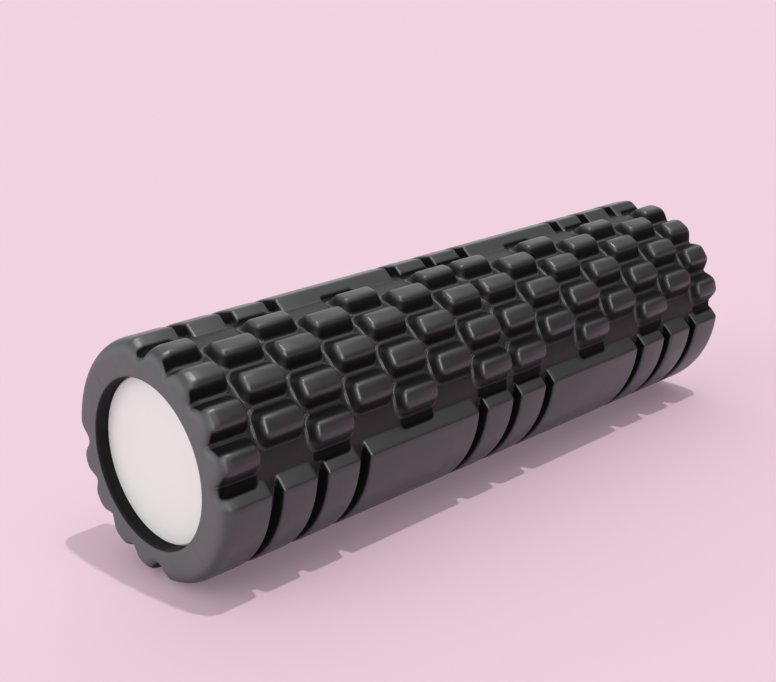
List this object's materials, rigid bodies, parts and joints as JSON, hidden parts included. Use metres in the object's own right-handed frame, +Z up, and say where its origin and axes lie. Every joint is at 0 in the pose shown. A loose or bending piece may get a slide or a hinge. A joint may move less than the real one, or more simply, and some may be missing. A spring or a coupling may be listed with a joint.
{
  "type": "foam roller",
  "caption": "Cylindrical textured foam massage roller: a sleeve with a checkerboard of raised blocks between smooth grooved bands, over a rigid core closed by flat end caps.",
  "frame": {"origin": "on the surface the roller lies on, straight below the middle of its axis", "axes": "+X along the roller's axis from its left end to its right end, +Z up, -Y towards the front"},
  "size_m": [0.4572, 0.1388, 0.1385],
  "materials": {
    "foam": "satin moulded closed-cell EVA foam, black",
    "core_plastic": "matte extruded plastic, off-white",
    "cap_plastic": "fine matte moulded plastic, warm white"
  },
  "bodies": {
    "root": {"front_foam_shell": "foam", "rear_foam_shell": "foam", "core_tube": "core_plastic", "left_end_cap": "cap_plastic", "right_end_cap": "cap_plastic"}
  },
  "joints": []
}
